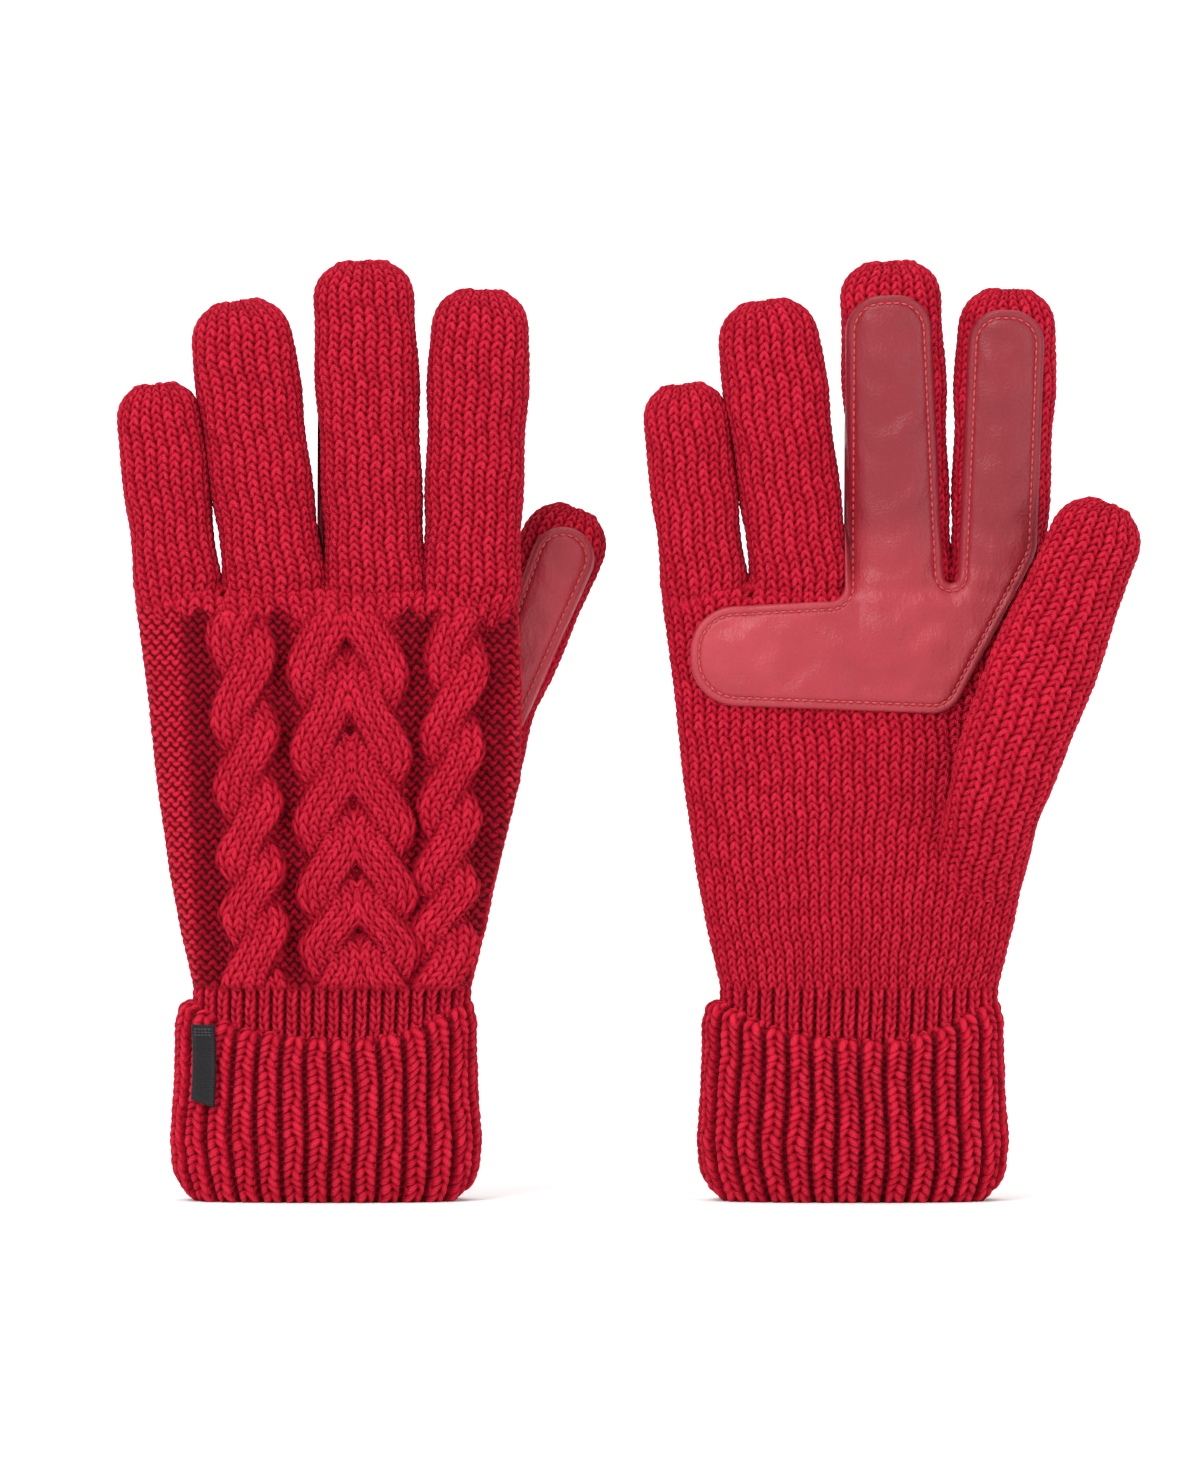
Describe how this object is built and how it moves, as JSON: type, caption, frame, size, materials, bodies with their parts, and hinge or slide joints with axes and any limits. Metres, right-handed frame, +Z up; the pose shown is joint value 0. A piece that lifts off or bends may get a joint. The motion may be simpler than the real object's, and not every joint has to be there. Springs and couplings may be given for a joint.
{
  "type": "knitted gloves",
  "caption": "Pair of red cable-knit gloves with turned-up ribbed cuffs and stitched leather grip patches, fingers jointed to curl.",
  "frame": {"origin": "middle of the pair's bounding box, at the level of the folds that both cuffs stand on", "axes": "+Z up the fingers, +X to the thumb side of both gloves, +Y to the palm side of the left-hand glove and the back of the right-hand glove"},
  "size_m": [0.2688, 0.0662, 0.2486],
  "materials": {
    "wool_knit": "soft matt wool, stocking stitch and cables",
    "cuff_rib_knit": "soft matt wool, wide rib",
    "grip_leather": "satin suede-like leather with a fine grain",
    "topstitch_thread": "matt polyester thread",
    "woven_label": "blank woven tape",
    "label_thread": "matt thread"
  },
  "bodies": {
    "left_cuff": {"left_cuff": "cuff_rib_knit", "left_cuff_label": "woven_label", "left_cuff_label_thread": "label_thread"},
    "left_hand": {"left_hand": "wool_knit", "left_palm_leather": "grip_leather", "left_palm_thread": "topstitch_thread"},
    "left_little_base": {"left_little_base": "wool_knit"},
    "left_little_tip": {"left_little_tip": "wool_knit"},
    "left_ring_base": {"left_ring_base": "wool_knit"},
    "left_ring_tip": {"left_ring_tip": "wool_knit"},
    "left_middle_base": {"left_middle_base": "wool_knit", "left_middle_base_leather": "grip_leather", "left_middle_base_thread": "topstitch_thread"},
    "left_middle_tip": {"left_middle_tip": "wool_knit", "left_middle_tip_leather": "grip_leather", "left_middle_tip_thread": "topstitch_thread"},
    "left_index_base": {"left_index_base": "wool_knit", "left_index_base_leather": "grip_leather", "left_index_base_thread": "topstitch_thread"},
    "left_index_tip": {"left_index_tip": "wool_knit", "left_index_tip_leather": "grip_leather", "left_index_tip_thread": "topstitch_thread"},
    "left_thumb_base": {"left_thumb_base": "wool_knit", "left_thumb_base_leather": "grip_leather", "left_thumb_base_thread": "topstitch_thread"},
    "left_thumb_tip": {"left_thumb_tip": "wool_knit", "left_thumb_tip_leather": "grip_leather", "left_thumb_tip_thread": "topstitch_thread"},
    "right_cuff": {"right_cuff": "cuff_rib_knit"},
    "right_hand": {"right_hand": "wool_knit", "right_palm_leather": "grip_leather", "right_palm_thread": "topstitch_thread"},
    "right_little_base": {"right_little_base": "wool_knit"},
    "right_little_tip": {"right_little_tip": "wool_knit"},
    "right_ring_base": {"right_ring_base": "wool_knit"},
    "right_ring_tip": {"right_ring_tip": "wool_knit"},
    "right_middle_base": {"right_middle_base": "wool_knit", "right_middle_base_leather": "grip_leather", "right_middle_base_thread": "topstitch_thread"},
    "right_middle_tip": {"right_middle_tip": "wool_knit", "right_middle_tip_leather": "grip_leather", "right_middle_tip_thread": "topstitch_thread"},
    "right_index_base": {"right_index_base": "wool_knit", "right_index_base_leather": "grip_leather", "right_index_base_thread": "topstitch_thread"},
    "right_index_tip": {"right_index_tip": "wool_knit", "right_index_tip_leather": "grip_leather", "right_index_tip_thread": "topstitch_thread"},
    "right_thumb_base": {"right_thumb_base": "wool_knit", "right_thumb_base_leather": "grip_leather", "right_thumb_base_thread": "topstitch_thread"},
    "right_thumb_tip": {"right_thumb_tip": "wool_knit", "right_thumb_tip_leather": "grip_leather", "right_thumb_tip_thread": "topstitch_thread"}
  },
  "joints": [
    {"name": "left_cuff_unturn", "type": "slide", "parent": "left_cuff", "child": "left_hand", "axis": [0, 0, 1], "range_m": [0, 0.036]},
    {"name": "left_little_knuckle", "type": "hinge", "parent": "left_hand", "child": "left_little_base", "pos_m": [-0.11998, 0, 0.17096], "axis": [-0.9938, 0, -0.1109], "range_deg": [-10, 70]},
    {"name": "left_little_middle_joint", "type": "hinge", "parent": "left_little_base", "child": "left_little_tip", "pos_m": [-0.12208, 0, 0.18984], "axis": [-0.9938, 0, -0.1109], "range_deg": [0, 80]},
    {"name": "left_ring_knuckle", "type": "hinge", "parent": "left_hand", "child": "left_ring_base", "pos_m": [-0.09434, 0, 0.17094], "axis": [-0.991, 0, -0.1339], "range_deg": [-10, 70]},
    {"name": "left_ring_middle_joint", "type": "hinge", "parent": "left_ring_base", "child": "left_ring_tip", "pos_m": [-0.09822, 0, 0.19968], "axis": [-0.991, 0, -0.1339], "range_deg": [0, 80]},
    {"name": "left_middle_knuckle", "type": "hinge", "parent": "left_hand", "child": "left_middle_base", "pos_m": [-0.0669, 0, 0.17099], "axis": [-0.9991, 0, -0.0426], "range_deg": [-10, 70]},
    {"name": "left_middle_middle_joint", "type": "hinge", "parent": "left_middle_base", "child": "left_middle_tip", "pos_m": [-0.0683, 0, 0.20396], "axis": [-0.9991, 0, -0.0426], "range_deg": [0, 80]},
    {"name": "left_index_knuckle", "type": "hinge", "parent": "left_hand", "child": "left_index_base", "pos_m": [-0.04115, 0, 0.171], "axis": [-0.9993, 0, 0.0363], "range_deg": [-10, 70]},
    {"name": "left_index_middle_joint", "type": "hinge", "parent": "left_index_base", "child": "left_index_tip", "pos_m": [-0.04006, 0, 0.20098], "axis": [-0.9993, 0, 0.0363], "range_deg": [0, 80]},
    {"name": "left_thumb_swing", "type": "hinge", "parent": "left_hand", "child": "left_thumb_base", "pos_m": [-0.0338, 0.0238, 0.133], "axis": [-0.3919, 0.9063, 0.1582], "range_deg": [0, 35]},
    {"name": "left_thumb_bend", "type": "hinge", "parent": "left_thumb_base", "child": "left_thumb_tip", "pos_m": [-0.02294, 0.0238, 0.15989], "axis": [0, -1, 0], "range_deg": [0, 40]},
    {"name": "right_cuff_unturn", "type": "slide", "parent": "right_cuff", "child": "right_hand", "axis": [0, 0, 1], "range_m": [0, 0.036]},
    {"name": "right_little_knuckle", "type": "hinge", "parent": "right_hand", "child": "right_little_base", "pos_m": [0.01962, 0, 0.17096], "axis": [0.9938, 0, 0.1109], "range_deg": [-10, 70]},
    {"name": "right_little_middle_joint", "type": "hinge", "parent": "right_little_base", "child": "right_little_tip", "pos_m": [0.01752, 0, 0.18984], "axis": [0.9938, 0, 0.1109], "range_deg": [0, 80]},
    {"name": "right_ring_knuckle", "type": "hinge", "parent": "right_hand", "child": "right_ring_base", "pos_m": [0.04526, 0, 0.17094], "axis": [0.991, 0, 0.1339], "range_deg": [-10, 70]},
    {"name": "right_ring_middle_joint", "type": "hinge", "parent": "right_ring_base", "child": "right_ring_tip", "pos_m": [0.04138, 0, 0.19968], "axis": [0.991, 0, 0.1339], "range_deg": [0, 80]},
    {"name": "right_middle_knuckle", "type": "hinge", "parent": "right_hand", "child": "right_middle_base", "pos_m": [0.0727, 0, 0.17099], "axis": [0.9991, 0, 0.0426], "range_deg": [-10, 70]},
    {"name": "right_middle_middle_joint", "type": "hinge", "parent": "right_middle_base", "child": "right_middle_tip", "pos_m": [0.0713, 0, 0.20396], "axis": [0.9991, 0, 0.0426], "range_deg": [0, 80]},
    {"name": "right_index_knuckle", "type": "hinge", "parent": "right_hand", "child": "right_index_base", "pos_m": [0.09845, 0, 0.171], "axis": [0.9993, 0, -0.0363], "range_deg": [-10, 70]},
    {"name": "right_index_middle_joint", "type": "hinge", "parent": "right_index_base", "child": "right_index_tip", "pos_m": [0.09954, 0, 0.20098], "axis": [0.9993, 0, -0.0363], "range_deg": [0, 80]},
    {"name": "right_thumb_swing", "type": "hinge", "parent": "right_hand", "child": "right_thumb_base", "pos_m": [0.1058, -0.0238, 0.133], "axis": [0.3919, 0.9063, -0.1582], "range_deg": [0, 35]},
    {"name": "right_thumb_bend", "type": "hinge", "parent": "right_thumb_base", "child": "right_thumb_tip", "pos_m": [0.11666, -0.0238, 0.15989], "axis": [0, -1, 0], "range_deg": [0, 40]},
    {"name": "pair_apart", "type": "slide", "parent": "left_cuff", "child": "right_cuff", "axis": [1, 0, 0], "range_m": [0, 0.06]}
  ]
}
